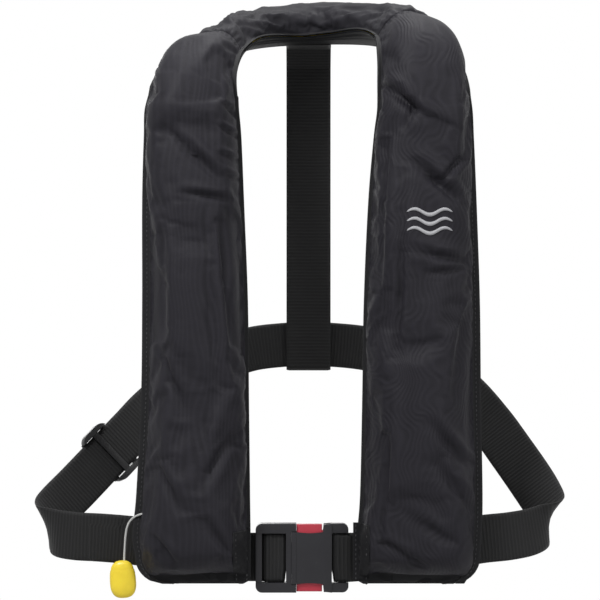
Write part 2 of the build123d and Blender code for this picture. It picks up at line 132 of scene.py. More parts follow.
# ---------------------------------------------------------------- camera, light, floor
def camera():
    data = bpy.data.cameras.new("camera")
    data.lens = 130.7
    data.sensor_width = 36
    data.clip_end = 30
    obj = bpy.data.objects.new("camera", data)
    obj.location = (-0.0047, -2.120, -0.250)
    obj.rotation_euler = (math.pi / 2, 0, 0)
    bpy.context.scene.collection.objects.link(obj)
    bpy.context.scene.camera = obj


def area_light(name, place, target, size, power):
    data = bpy.data.lights.new(name, "AREA")
    data.shape = "DISK"
    data.size = size
    data.energy = power
    obj = bpy.data.objects.new(name, data)
    obj.location = place
    obj.rotation_euler = (Vector(target) - Vector(place)).to_track_quat("-Z", "Y").to_euler()
    bpy.context.scene.collection.objects.link(obj)


def studio():
    """Soft lights, a world that is brighter behind the object, and a pale floor disc."""
    scene = bpy.context.scene
    scene.view_settings.view_transform = "Standard"
    world = bpy.data.worlds.new("studio")
    world.use_nodes = True
    tree = world.node_tree
    direction = tree.nodes.new("ShaderNodeTexCoord").outputs["Generated"]
    split = tree.nodes.new("ShaderNodeSeparateXYZ")
    tree.links.new(direction, split.inputs[0])
    behind = tree.nodes.new("ShaderNodeMapRange")
    behind.inputs["From Min"].default_value = 0.55
    behind.inputs["From Max"].default_value = 0.9
    behind.inputs["To Min"].default_value = WORLD_LIGHT
    behind.inputs["To Max"].default_value = 1.0
    tree.links.new(split.outputs[1], behind.inputs["Value"])
    tree.nodes["Background"].inputs["Color"].default_value = (1, 1, 1, 1)
    tree.links.new(behind.outputs["Result"], tree.nodes["Background"].inputs["Strength"])
    scene.world = world
    middle = (0, 0, -0.25)
    area_light("key", (-0.75, -1.15, 1.15), (0, 0, -0.12), 0.5, 24)
    area_light("fill", (1.5, -1.5, 0.6), middle, 0.8, 12)
    area_light("top", (0.2, 0.4, 1.5), middle, 0.5, 14)
    area_light("back", (-0.5, 1.9, 0.1), middle, 1.0, 7)
    bpy.ops.mesh.primitive_circle_add(vertices=96, radius=0.66, fill_type="NGON", location=(0, 0, -0.64))
    floor = bpy.context.object
    floor.name = "floor"
    material = bpy.data.materials.new("floor_white")
    material.use_nodes = True
    shader = material.node_tree.nodes["Principled BSDF"]
    shader.inputs["Base Color"].default_value = (0.42, 0.42, 0.42, 1)
    shader.inputs["Roughness"].default_value = 0.9
    floor.data.materials.append(material)


# ---------------------------------------------------------------- materials
def new_group(name, inputs, outputs):
    group = bpy.data.node_groups.new(name, "ShaderNodeTree")
    for label, kind, value in inputs:
        socket = group.interface.new_socket(name=label, in_out="INPUT", socket_type=kind)
        if value is not None:
            socket.default_value = value
    for label, kind in outputs:
        group.interface.new_socket(name=label, in_out="OUTPUT", socket_type=kind)
    return group, group.nodes.new("NodeGroupInput"), group.nodes.new("NodeGroupOutput")


def math_node(tree, operation, first, second=None, third=None):
    node = tree.nodes.new("ShaderNodeMath")
    node.operation = operation
    for index, value in enumerate((first, second, third)):
        if value is None:
            continue
        if isinstance(value, (int, float)):
            node.inputs[index].default_value = value
        else:
            tree.links.new(value, node.inputs[index])
    return node.outputs[0]


def weave_group():
    """Plain weave from a metric vector: warp and weft threads that pass over each other."""
    group, entry, out = new_group(
        "thread_weave",
        [("Vector", "NodeSocketVector", None), ("Pitch", "NodeSocketFloat", 0.001)],
        [("Height", "NodeSocketFloat")])
    split = group.nodes.new("ShaderNodeSeparateXYZ")
    group.links.new(entry.outputs["Vector"], split.inputs[0])
    turns = math_node(group, "DIVIDE", 2 * math.pi, entry.outputs["Pitch"])
    across = math_node(group, "SINE", math_node(group, "MULTIPLY", split.outputs[0], turns))
    along = math_node(group, "SINE", math_node(group, "MULTIPLY", split.outputs[1], turns))
    woven = math_node(group, "MULTIPLY", across, along)
    group.links.new(math_node(group, "MULTIPLY_ADD", woven, 0.5), out.inputs["Height"])
    return group


def mottle_group():
    """Cloudy variation of one colour, from detailed noise."""
    group, entry, out = new_group(
        "cloudy_tone",
        [("Vector", "NodeSocketVector", None), ("Scale", "NodeSocketFloat", 20.0),
         ("Color", "NodeSocketColor", None), ("Amount", "NodeSocketFloat", 0.2)],
        [("Color", "NodeSocketColor")])
    cloud = group.nodes.new("ShaderNodeTexNoise")
    cloud.inputs["Detail"].default_value = 5
    group.links.new(entry.outputs["Vector"], cloud.inputs["Vector"])
    group.links.new(entry.outputs["Scale"], cloud.inputs["Scale"])
    centred = math_node(group, "SUBTRACT", cloud.outputs["Fac"], 0.5)
    swing = math_node(group, "MULTIPLY", centred, entry.outputs["Amount"])
    gain = math_node(group, "ADD", math_node(group, "MULTIPLY", swing, 2.0), 1.0)
    scaled = group.nodes.new("ShaderNodeVectorMath")
    scaled.operation = "SCALE"
    group.links.new(entry.outputs["Color"], scaled.inputs[0])
    group.links.new(gain, scaled.inputs["Scale"])
    group.links.new(scaled.outputs[0], out.inputs["Color"])
    return group


GRAIN = 0.00006
WEAVE = weave_group()
MOTTLE = mottle_group()


class Finish:
    """A material with its Principled shader, and short ways to add to it."""

    def __init__(self, name, color, roughness, **values):
        self.material = bpy.data.materials.new(name)
        self.material.use_nodes = True
        self.tree = self.material.node_tree
        self.shader = self.tree.nodes["Principled BSDF"]
        self.shader.inputs["Base Color"].default_value = (*color, 1)
        self.shader.inputs["Roughness"].default_value = roughness
        for label, value in values.items():
            self.shader.inputs[label.replace("_", " ")].default_value = value
        self.color = color
        self.normal = None

    def node(self, kind, **settings):
        made = self.tree.nodes.new(kind)
        for label, value in settings.items():
            setattr(made, label, value)
        return made

    def vector(self, source):
        if source == "object":
            return self.node("ShaderNodeTexCoord").outputs["Object"]
        return self.node("ShaderNodeUVMap", uv_map="metric").outputs["UV"]

    def link(self, a, b):
        self.tree.links.new(a, b)

    def mapped(self, source, label, value):
        """A vector after one change of scale or rotation."""
        made = self.node("ShaderNodeMapping")
        made.inputs[label].default_value = value
        self.link(self.vector(source), made.inputs["Vector"])
        return made.outputs[0]

    def noise(self, vector, scale, detail=2):
        made = self.node("ShaderNodeTexNoise")
        made.inputs["Scale"].default_value = scale
        made.inputs["Detail"].default_value = detail
        self.link(vector, made.inputs["Vector"])
        return made.outputs["Fac"]

    def group(self, group, vector, **values):
        made = self.node("ShaderNodeGroup", node_tree=group)
        self.link(vector, made.inputs["Vector"])
        for label, value in values.items():
            made.inputs[label].default_value = value
        return made

    def bump(self, height, distance, strength=1.0):
        made = self.node("ShaderNodeBump")
        made.inputs["Distance"].default_value = distance
        made.inputs["Strength"].default_value = strength
        self.link(height, made.inputs["Height"])
        if self.normal:
            self.link(self.normal, made.inputs["Normal"])
        self.normal = made.outputs["Normal"]
        self.link(self.normal, self.shader.inputs["Normal"])

    def mottle(self, source, scale, amount, color=None):
        made = self.group(MOTTLE, self.vector(source), Scale=scale, Amount=amount)
        made.inputs["Color"].default_value = (*(color or self.color), 1)
        return made

    def paint(self, color):
        self.link(color, self.shader.inputs["Base Color"])

    def mix(self, mask, first, second, blend="MIX"):
        made = self.node("ShaderNodeMix", data_type="RGBA", blend_type=blend)
        self.link(mask, made.inputs["Factor"])
        for socket, value in ((made.inputs["A"], first), (made.inputs["B"], second)):
            if isinstance(value, tuple):
                socket.default_value = (*value, 1)
            else:
                self.link(value, socket)
        return made.outputs["Result"]

    def ramp(self, value, *stops):
        made = self.node("ShaderNodeValToRGB")
        made.color_ramp.elements[0].position, made.color_ramp.elements[1].position = stops
        self.link(value, made.inputs["Fac"])
        return made.outputs["Color"]

    def attribute(self, name):
        return self.node("ShaderNodeAttribute", attribute_name=name).outputs["Fac"]


def nylon(name, color, watermark=0.0, gloss=0.2, ripple=0.35, bend=24):
    """Woven nylon with a soft sheen and a painted highlight on raised folds; a faint watermark can run along
    it.
    """
    f = Finish(name, color, 0.6, Sheen_Weight=0.03, Sheen_Roughness=0.4, Specular_IOR_Level=gloss)
    tone = f.mottle("object", 14, 0.22)
    # Painted highlight: raised folds, found by the ridge attribute, are lightened in the base colour.
    tone_with_fold_highlight = f.mix(f.ramp(f.attribute("ridge"), 0.2, 1.0), tone.outputs["Color"],
                 tuple(min(1.0, c * 1.12) for c in color))
    if watermark:
        wave = f.node("ShaderNodeTexWave", wave_type="BANDS", bands_direction="X")
        wave.inputs["Scale"].default_value = 62
        wave.inputs["Distortion"].default_value = bend
        wave.inputs["Detail"].default_value = 1
        wave.inputs["Detail Scale"].default_value = 0.42
        f.link(f.mapped("object", "Scale", (1, 0.3, ripple)), wave.inputs["Vector"])
        tone_with_fold_highlight = f.mix(f.ramp(wave.outputs["Fac"], 0.25, 1.0), tone_with_fold_highlight, tuple(c * 1.3 for c in color))
        f.bump(wave.outputs["Fac"], watermark)
    f.paint(tone_with_fold_highlight)
    weave = f.group(WEAVE, f.vector("uv"), Pitch=0.0011)
    f.bump(weave.outputs["Height"], 0.00012, 0.6)
    f.bump(f.noise(f.vector("object"), 70, 4), 0.0012, 0.5)
    return f.material


def tape(name, color):
    """Flat binding tape with a fine weave."""
    f = Finish(name, color, 0.7, Specular_IOR_Level=0.25, Sheen_Weight=0.15)
    f.paint(f.mottle("object", 40, 0.25).outputs["Color"])
    weave = f.group(WEAVE, f.vector("uv"), Pitch=0.0016)
    f.bump(weave.outputs["Height"], 0.0002, 0.8)
    return f.material


def ribbed(name, color):
    """Heavy webbing: ribs across it, fine diagonal threads, and a painted highlight on the rib crests."""
    f = Finish(name, color, 0.58, Specular_IOR_Level=0.35, Sheen_Weight=0.12)
    split = f.node("ShaderNodeSeparateXYZ")
    f.link(f.vector("uv"), split.inputs[0])
    turn = math_node(f.tree, "MULTIPLY", split.outputs[1], 2 * math.pi / (RIB_PITCH * MM))
    rib = math_node(f.tree, "MULTIPLY_ADD", math_node(f.tree, "SINE", turn), 0.5, 0.5)
    tone = f.mottle("uv", 60, 0.3)
    # Painted highlight: the rib crests are lightened in the base colour.
    f.paint(f.mix(f.ramp(rib, 0.55, 1.0), tone.outputs["Color"], tuple(c * 1.9 + 0.003 for c in color)))
    weave = f.group(WEAVE, f.mapped("uv", "Rotation", (0, 0, math.radians(45))), Pitch=0.0012)
    f.bump(weave.outputs["Height"], 0.00025, 0.8)
    return f.material


def plastic(name, color, roughness, edge=1.6):
    """Moulded plastic: fine spark-eroded grain, cloudy tone, scuffs that catch the light."""
    f = Finish(name, color, roughness, Specular_IOR_Level=0.45)
    tone = f.mottle("object", 90, 0.12)
    scuff = f.noise(f.vector("object"), 260, 6)
    f.paint(f.mix(f.ramp(scuff, 0.62, 0.82), tone.outputs["Color"], tuple(min(1.0, c * edge) for c in color)))
    f.link(math_node(f.tree, "MULTIPLY_ADD", scuff, 0.18, roughness - 0.09), f.shader.inputs["Roughness"])
    f.bump(f.noise(f.vector("object"), 1400), GRAIN, 0.7)
    return f.material


def metal(name, color, roughness):
    """Turned or drawn metal with fine rings and a few dull patches."""
    f = Finish(name, color, roughness, Metallic=1.0)
    f.paint(f.mottle("object", 60, 0.2).outputs["Color"])
    f.bump(f.noise(f.mapped("object", "Scale", (1, 1, 30)), 120), 0.00005, 0.5)
    return f.material


def braid(name, color):
    """Thin braided cord, with painted shade between its strands."""
    f = Finish(name, color, 0.75, Sheen_Weight=0.3)
    weave = f.group(WEAVE, f.vector("object"), Pitch=0.0014)
    # Painted shade: the colour is darker where the weave sinks between strands.
    f.paint(f.mix(weave.outputs["Height"], tuple(c * 0.7 for c in color), color))
    f.bump(weave.outputs["Height"], 0.0003, 0.8)
    return f.material


def make_materials():
    return {
        "cover": nylon("nylon_cover", (0.0175, 0.0165, 0.0212), 0.00006),
        "cover_left": nylon("nylon_watered", (0.0160, 0.0150, 0.0195), 0.0002, ripple=0.8, bend=42),
        "collar": nylon("nylon_collar", (0.0195, 0.0187, 0.0232)),
        "panel": nylon("nylon_lining", (0.014, 0.014, 0.0155), gloss=0.15),
        # Painted shade: the collar's lining is a darker, duller copy of the lining cloth.
        "shaded_collar_panel": nylon("nylon_collar_lining_shaded", (0.008, 0.008, 0.009), gloss=0.04),
        "rim": tape("rim_tape", (0.0155, 0.0155, 0.017)),
        "hook": tape("hook_tape", (0.012, 0.012, 0.012)),
        "webbing": ribbed("ribbed_webbing", (0.0052, 0.0052, 0.0056)),
        "thread": Finish("black_thread", (0.035, 0.035, 0.04), 0.6, Sheen_Weight=0.3).material,
        "buckle": plastic("buckle_plastic", (0.0235, 0.0232, 0.0272), 0.36),
        "slider": plastic("slider_plastic", (0.016, 0.016, 0.017), 0.4),
        "red": plastic("press_plastic", (0.50, 0.04, 0.065), 0.42, edge=1.15),
        "inflator": plastic("inflator_plastic", (0.02, 0.02, 0.022), 0.45),
        "lever": plastic("lever_plastic", (0.05, 0.05, 0.055), 0.45),
        "steel": metal("plated_steel", (0.55, 0.55, 0.56), 0.3),
        "brass": metal("turned_brass", (0.75, 0.56, 0.27), 0.28),
        "rubber": plastic("black_rubber", (0.022, 0.022, 0.024), 0.7),
        "green": plastic("indicator_plastic", (0.04, 0.42, 0.10), 0.3, edge=1.2),
        "bladder": nylon("coated_bladder", (0.80, 0.62, 0.06)),
        "whistle": plastic("whistle_plastic", (0.75, 0.2, 0.02), 0.35, edge=1.1),
        "cord": braid("white_braid", (0.72, 0.72, 0.70)),
        "yellow": plastic("toggle_plastic", (1.0, 0.76, 0.05), 0.3, edge=1.02),
        "mark": Finish("printed_mark", (0.42, 0.42, 0.44), 0.6).material,
    }


# ---------------------------------------------------------------- shared shape helpers
def put(name, verts, faces, materials=(), uvs=None):
    """A new mesh piece at the origin, with its place in its mesh."""
    mesh = bpy.data.meshes.new(name)
    mesh.from_pydata([tuple(v) for v in verts], [], faces)
    mesh.validate()
    obj = bpy.data.objects.new(name, mesh)
    bpy.context.scene.collection.objects.link(obj)
    for material in materials:
        mesh.materials.append(material)
    if uvs is not None:
        layer = mesh.uv_layers.new(name="metric")
        index = np.zeros(len(mesh.loops), np.int32)
        mesh.loops.foreach_get("vertex_index", index)
        layer.data.foreach_set("uv", np.asarray(uvs, np.float32)[index].ravel())
    mesh.shade_smooth()
    return obj


def copy_of(node, name, material):
    """A new piece with the mesh of a CAD node and one material."""
    obj = bpy.data.objects.new(name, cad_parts[node].data.copy())
    bpy.context.scene.collection.objects.link(obj)
    obj.data.materials.clear()
    obj.data.materials.append(material)
    return obj


def own(obj, body, *nodes, slot=None):
    """The piece rides on a body and stands for CAD nodes; the slot is not used."""
    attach(obj, body)
    if nodes:
        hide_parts(*nodes)
    return obj


def apply_modifiers(obj):
    bpy.ops.object.select_all(action="DESELECT")
    obj.select_set(True)
    bpy.context.view_layer.objects.active = obj
    for modifier in list(obj.modifiers):
        bpy.ops.object.modifier_apply(modifier=modifier.name)


def thicken(obj, thickness, offset=0):
    """Gives a sheet its thickness."""
    modifier = obj.modifiers.new("thickness", "SOLIDIFY")
    modifier.thickness = thickness * MM
    modifier.offset = offset
    apply_modifiers(obj)


def outward(obj):
    """Faces of a closed mesh point out."""
    b = bmesh.new()
    b.from_mesh(obj.data)
    bmesh.ops.recalc_face_normals(b, faces=b.faces)
    b.to_mesh(obj.data)
    b.free()


def cloth_tree(surface):
    """Search tree for casting rays at a cover."""
    b = bmesh.new()
    b.from_mesh(surface.data)
    tree = BVHTree.FromBMesh(b)
    b.free()
    return tree


def sheet_faces(count, width):
    """Faces of an open grid of rows, each a number of points wide."""
    corners = (r * width + c for r in range(count - 1) for c in range(width - 1))
    return [(a, a + 1, a + width + 1, a + width) for a in corners]


def tube_faces(count, ring):
    """Faces of a closed tube of rings, with a cap at each end."""
    pairs = ((r * ring + c, r * ring + (c + 1) % ring) for r in range(count - 1) for c in range(ring))
    faces = [(a, b, b + ring, a + ring) for a, b in pairs]
    return faces + [tuple(range(ring - 1, -1, -1)), tuple(range((count - 1) * ring, count * ring))]


def spline(rows, at):
    """Catmull-Rom value between rows at a fractional row number."""
    last = len(rows) - 1
    k = min(int(at), last - 1)
    t = at - k
    p0, p1, p2, p3 = (rows[min(max(j, 0), last)] for j in (k - 1, k, k + 1, k + 2))
    if k == 0:
        p0 = 2 * p1 - p2
    if k + 2 > last:
        p3 = 2 * p2 - p1
    return 0.5 * (2 * p1 + (p2 - p0) * t + (2 * p0 - 5 * p1 + 4 * p2 - p3) * t * t
                  + (3 * p1 - p0 - 3 * p2 + p3) * t ** 3)


def unit(v):
    return v / np.linalg.norm(v)


def signed_power(value, power):
    """A sine or cosine raised to a power with its sign kept, for fuller curves."""
    return math.copysign(abs(value) ** power, value)


def distance_along(points):
    """Distance travelled at each point of a line."""
    return np.concatenate([[0], np.cumsum(np.linalg.norm(np.diff(points, axis=0), axis=1))])


def dense_line(points, step, measured=None):
    """Points at an even step along a polyline, measured over its first columns."""
    points = np.array(points, float)
    travelled = distance_along(points[:, :measured])
    count = max(2, round(travelled[-1] / step))
    at = np.linspace(0, travelled[-1], count + 1)
    return np.array([np.interp(at, travelled, points[:, c]) for c in range(points.shape[1])]).T


def evenly(rows, step):
    """Rows at an even step along a smooth curve through their places."""
    return dense_line([spline(rows, k / 24) for k in range((len(rows) - 1) * 24 + 1)], step, 3)


# ---------------------------------------------------------------- padded horseshoe
def chest_rows(chest, side):
    """Chest stations as x, y, z, inner half, outer half, height, normal."""
    return [[side * (i + o) / 2, CHEST_Y, z, (o - i) / 2, h, 0, -1, 0] for z, i, o, h in chest]


def horseshoe_path():
    """Rows along the whole horseshoe, and the row numbers of the two shoulder seams."""
    over = [[*middle, width / 2, height, *normal] for middle, width, height, normal in OVER]
    rows = np.array(chest_rows(RIGHT_CHEST, -1) + over + chest_rows(LEFT_CHEST, 1)[::-1], float)
    dense = evenly(rows, ROW_STEP)
    seams = []
    for middle in (OVER[1][0], OVER[-2][0]):
        seams.append(int(np.argmin(np.linalg.norm(dense[:, :3] - np.array(middle), axis=1))))
    return dense, seams


def frames_of(rows):
    """Middle, outward direction and raised direction for each row."""
    made = []
    for k, row in enumerate(rows):
        along = unit(rows[min(k + 1, len(rows) - 1)][:3] - rows[max(k - 1, 0)][:3])
        weight = min(1.0, abs(row[1] - CHEST_Y) / 12)
        level = np.array([0, 0, math.copysign(1, along[2])])
        if row[1] < CHEST_Y + 12 and row[2] < -60:
            along = unit(along * weight + level * (1 - weight))
        out = unit(np.cross(row[5:8], along))
        made.append((row[:3], out, unit(np.cross(along, out))))
    return made


def stations(rows, ends):
    """Each row with its distance along, its distance from the closed end, and its frame."""
    distance = distance_along(rows[:, :3])
    from_end = {"start": distance, "end": distance[-1] - distance}.get(ends, np.full(len(rows), 1e3))
    return zip(rows, distance, from_end, frames_of(rows))


def end_shape(distance):
    """Share of the padding height at a distance from the closed bottom."""
    if distance <= FLANGE:
        return 0.0
    t = min(1.0, (distance - FLANGE) / END_DEPTH)
    return (1 - (1 - t) ** 3) ** 0.55


def corner_cut(distance, radius):
    """How far a rounded bottom corner pulls the edge in."""
    if distance >= radius:
        return 0.0
    return radius * (1 - math.sqrt(max(0.0, 1 - (1 - distance / radius) ** 2)))


def across(half_in, half_out, height, share, rim_out):
    """Outline across the padding, from the inner rim's edge to the outer rim's edge."""
    points = []
    for k in range(RIM_COUNT):
        points.append((-half_in + RIM_IN * k / RIM_COUNT, FLANGE_TOP))
    foot_in, foot_out = -half_in + RIM_IN, half_out - rim_out
    middle, half = (foot_in + foot_out) / 2, (foot_out - foot_in) / 2
    rise = max(0.0, height - FLANGE_TOP) * share
    for k in range(CROWN_COUNT + 1):
        angle = math.pi * (1 - k / CROWN_COUNT)
        x = signed_power(math.cos(angle), 2 / 3) * half
        points.append((middle + x, FLANGE_TOP + rise * max(0.0, math.sin(angle)) ** 1.15))
    for k in range(1, RIM_COUNT + 1):
        points.append((foot_out + rim_out * k / RIM_COUNT, FLANGE_TOP))
    return points


def bottom_rows(rows):
    """Extra rows where the padding closes, so that its foot stays crisp."""
    close = [0, 3, 6, 8.6, 9.05, 9.4, 10.2, 11.6, 13.4, 15.6, 18.2, 21, 24, 27, 30.5]
    first, second = rows[0], rows[min(len(rows) - 1, 20)]
    gap = abs(second[2] - first[2])
    made = [first + (second - first) * (d / gap) for d in close]
    rest = [r for r in rows if abs(r[2] - first[2]) > 33 or r[1] > CHEST_Y + 2]
    return np.array(made + rest)


def fold(x, z, first, second, width, depth):
    """Depth of a crease between two points, fading at its ends, with a soft ridge beside it."""
    a, b = np.array(first, float), np.array(second, float)
    d = b - a
    length = np.linalg.norm(d)
    t = ((x - a[0]) * d[0] + (z - a[1]) * d[1]) / length ** 2
    off = ((x - a[0]) * -d[1] + (z - a[1]) * d[0]) / length
    fade = np.clip(1.0 - np.abs(t - 0.5) * 2, 0, 1) ** 0.6
    ridge = 0.6 * np.exp(-((off - 2.1 * width) / (1.3 * width)) ** 2)
    return depth * fade * (-np.exp(-(off / width) ** 2) + ridge)


# Creases: first end (x, z), second end, half width, depth.
RIGHT_FOLDS = [
    ((-120, -96), (-76, -142), 4.0, 3.4), ((-112, -152), (-66, -158), 3.0, 2.2),
    ((-74, -70), (-58, -84), 2.2, 1.8), ((-78, -92), (-58, -102), 2.0, 1.6),
    ((-80, -116), (-60, -122), 2.0, 1.6), ((-76, -134), (-60, -140), 2.0, 1.5),
    ((-92, -165), (-80, -330), 5.0, 1.6), ((-74, -175), (-66, -300), 3.5, 1.5),
    ((-128, -180), (-134, -290), 4.5, 1.3), ((-84, -330), (-100, -402), 4.0, 1.6),
    ((-130, -300), (-112, -352), 4.0, 1.4), ((-72, -380), (-98, -428), 4.0, 1.8),
    ((-135, -400), (-110, -446), 4.0, 1.6), ((-92, -446), (-70, -484), 3.5, 1.6),
    ((-140, -462), (-118, -492), 3.2, 1.6),
]
LEFT_FOLDS = [
    ((72, -50), (112, -88), 5.0, 4.2), ((104, -60), (88, -96), 3.5, 2.6),
    ((98, -120), (140, -160), 4.5, 3.8), ((142, -118), (118, -150), 3.0, 2.2),
    ((100, -206), (148, -214), 3.6, 2.2), ((112, -226), (146, -222), 3.0, 1.4),
    ((76, -100), (66, -240), 3.0, 1.3), ((92, -130), (82, -300), 4.0, 1.2),
    ((104, -290), (96, -420), 4.0, 1.3), ((112, -356), (152, -404), 4.0, 2.2),
    ((122, -396), (156, -448), 4.0, 2.4), ((78, -330), (70, -470), 3.4, 1.3),
    ((90, -440), (130, -470), 4.2, 2.0), ((70, -470), (110, -494), 3.4, 1.6),
    ((148, -250), (140, -340), 4.0, 1.3),
]


def crumple(arc, along, scale_along, scale_across, seed):
    """Sharp-ridged noise, stretched along the padding."""
    p = Vector((along * scale_along, arc * scale_across, seed))
    first = 1 - 2 * abs(noise.noise(p)) ** 0.8
    second = 1 - 2 * abs(noise.noise(p * 2.1 + Vector((5, 1, 2))))
    return first * 0.6 + second * 0.4


def loft_cover(name, rows, ends):
    """Front cloth of one section as an open grid, with the number of points across it."""
    verts, widths = [], []
    for row, travelled, from_end, (middle, out, up) in stations(rows, ends):
        half, height = row[3:5]
        outer_half = half - corner_cut(from_end, CORNER_OUT)
        inner_half = half - corner_cut(from_end, CORNER_IN)
        near_top = min(1.0, max(0.0, (middle[2] + 190) / 110))
        outline = across(inner_half, outer_half, height, end_shape(from_end), RIM_OUT - 5.0 * near_top)
        width = 0.0
        for j, (x, y) in enumerate(outline):
            verts.append(middle + out * x + up * y)
            width += 0 if j == 0 else math.dist(outline[j - 1], outline[j])
            widths.append((width * MM, travelled * MM))
    columns = len(outline)
    return put(name, np.array(verts) * MM, sheet_faces(len(rows), columns), uvs=widths), columns


def grid_of(obj, columns):
    co = np.zeros(len(obj.data.vertices) * 3)
    obj.data.vertices.foreach_get("co", co)
    return co.reshape(-1, columns, 3)


def write_grid(obj, grid):
    obj.data.vertices.foreach_set("co", grid.ravel())
    obj.data.update()


def normals_of(obj, columns):
    values = np.zeros(len(obj.data.vertices) * 3)
    obj.data.vertex_normals.foreach_get("vector", values)
    return values.reshape(-1, columns, 3)


def pad_mask(shape, rim=5, ease=5):
    """One on the padding and zero on the rims."""
    count = shape[1]
    c = np.arange(count)
    near = np.minimum(c, count - 1 - c)
    return np.clip((near - rim + 1) / ease, 0, 1)[None, :] * np.ones((shape[0], 1))


def simulate(obj, held, growth, frames=16):
    """Cloth that is a little larger than its padding, held at its rims, under light pressure."""
    group = obj.vertex_groups.new(name="held")
    group.add([int(i) for i in held], 1.0, "REPLACE")
    modifier = obj.modifiers.new("cloth", "CLOTH")
    settings = modifier.settings
    settings.quality = 5
    settings.mass = 0.15
    settings.tension_stiffness = 25
    settings.compression_stiffness = 25
    settings.shear_stiffness = 8
    settings.bending_stiffness = 0.35
    settings.tension_damping = 8
    settings.compression_damping = 8
    settings.bending_damping = 0.5
    settings.air_damping = 3
    settings.vertex_group_mass = "held"
    settings.shrink_min = -growth
    settings.shrink_max = -growth
    settings.use_pressure = True
    settings.uniform_pressure_force = 0.4
    settings.effector_weights.gravity = 0
    modifier.collision_settings.use_collision = False
    modifier.collision_settings.use_self_collision = False
    scene = bpy.context.scene
    for number in range(1, frames + 1):
        scene.frame_set(number)
    apply_modifiers(obj)
    scene.frame_set(1)
    obj.vertex_groups.clear()


def capped(start, grid, limit):
    """The settled grid, with no point further than a limit from where it started."""
    move = grid - start
    length = np.linalg.norm(move, axis=2, keepdims=True) + 1e-12
    return start + move * np.minimum(1.0, limit / length)


def ridge_attribute(obj, columns):
    """Stores how sharply each point stands out, for the painted highlight on raised folds."""
    grid = grid_of(obj, columns)
    normal = normals_of(obj, columns)
    mean = grid.copy()
    mean[1:-1, 1:-1] = (grid[:-2, 1:-1] + grid[2:, 1:-1] + grid[1:-1, :-2] + grid[1:-1, 2:]) / 4
    stand = ((grid - mean) * normal).sum(2) / (0.09 * MM)
    for _ in range(2):
        stand[1:-1, 1:-1] = (stand[1:-1, 1:-1] * 2 + stand[:-2, 1:-1] + stand[2:, 1:-1]
                             + stand[1:-1, :-2] + stand[1:-1, 2:]) / 6
    layer = obj.data.attributes.new("ridge", "FLOAT", "POINT")
    layer.data.foreach_set("value", np.clip(stand, 0, 1).astype(np.float32).ravel())


def cover(name, rows, ends, folds, node, materials):
    """One padded cover: lofted, seeded with folds, settled as cloth, given thickness."""
    collar = ends == "none"
    obj, columns = loft_cover(name, rows, ends)
    for material in materials:
        obj.data.materials.append(material)
    start = grid_of(obj, columns)
    normal = normals_of(obj, columns)
    if normal[len(rows) // 2, columns // 2] @ np.array([0, -1, 0.6]) < 0:
        obj.data.flip_normals()
        normal = normals_of(obj, columns)
    mask = pad_mask(start.shape)
    mm = start / MM
    push = np.zeros(mask.shape)
    for crease in folds:
        push += 2.1 * fold(mm[..., 0], mm[..., 2], *crease)
    travelled = distance_along(rows[:, :3])[:, None] * np.ones(mask.shape)
    steps = np.linalg.norm(np.diff(mm, axis=1), axis=2)
    arc = np.concatenate([np.zeros((len(mm), 1)), np.cumsum(steps, axis=1)], axis=1)
    swell, slant, *scales = (4.8, 0.6, 0.013, 0.052, 3.0) if collar else (0.9, 0.5, 0.010, 0.022, 9.0)
    for r, c in np.ndindex(mask.shape):
        push[r, c] += swell * crumple(arc[r, c], travelled[r, c] + slant * arc[r, c], *scales)
    past, ahead = travelled - travelled[0], travelled[-1] - travelled
    to_seam = {"start": ahead, "end": past}.get(ends, np.minimum(past, ahead))
    gather = np.exp(-(to_seam / 9.0) ** 2)
    column = np.arange(mask.shape[1])[None, :]
    push += gather * (1.1 * np.sin(column * 1.9) - 1.0)
    push *= np.clip(to_seam / 3.0, 0, 1)
    grid = start + normal * (push * mask * MM)[..., None]
    write_grid(obj, grid)
    held = np.where((mask < 0.05).ravel() | (to_seam < 3.5).ravel())[0]
    simulate(obj, held, 0.03 if collar else 0.025)
    write_grid(obj, capped(grid, grid_of(obj, columns), 0.0035))
    ridge_attribute(obj, columns)
    for polygon in obj.data.polygons:
        c = polygon.index % (columns - 1)
        r = polygon.index // (columns - 1)
        along_end = (ends == "start" and r < 3) or (ends == "end" and r >= len(rows) - 4)
        on_rim = c < RIM_COUNT or c >= columns - 1 - RIM_COUNT or along_end
        polygon.material_index = 1 if on_rim else 0
    thicken(obj, 1.2, -1)
    obj.data.shade_smooth()
    own(obj, "jacket", node, slot="cover_cloth")
    return obj


def lining(name, rows, ends, node, material):
    """Back cloth of one section: a thin closed slab, quilted lengthwise, bound at its edges."""
    verts, uvs = [], []
    count = 30
    for row, travelled, from_end, (middle, out, up) in stations(rows, ends):
        low = -(row[3] - corner_cut(from_end, CORNER_IN))
        high = row[3] - corner_cut(from_end, CORNER_OUT)
        for level in (1.3, 0.0):
            for j in range(count + 1):
                x = low + (high - low) * (j / count if level else 1 - j / count)
                edge = min(x - low, high - x, from_end)
                puff = 0.0 if level else 1.5 * math.sin(math.pi * min(1.0, edge / 14) / 2) ** 2
                channel = math.exp(-((abs(x) - 16) / 1.6) ** 2) + math.exp(-((edge - 7) / 1.2) ** 2)
                verts.append(middle + out * x + up * (level - puff + (0 if level else channel)))
                uvs.append((x * MM, travelled * MM))
    faces = tube_faces(len(rows), 2 * (count + 1))
    obj = put(name, np.array(verts) * MM, faces, uvs=uvs, materials=[material])
    outward(obj)
    return own(obj, "jacket", node, slot="panel_cloth")


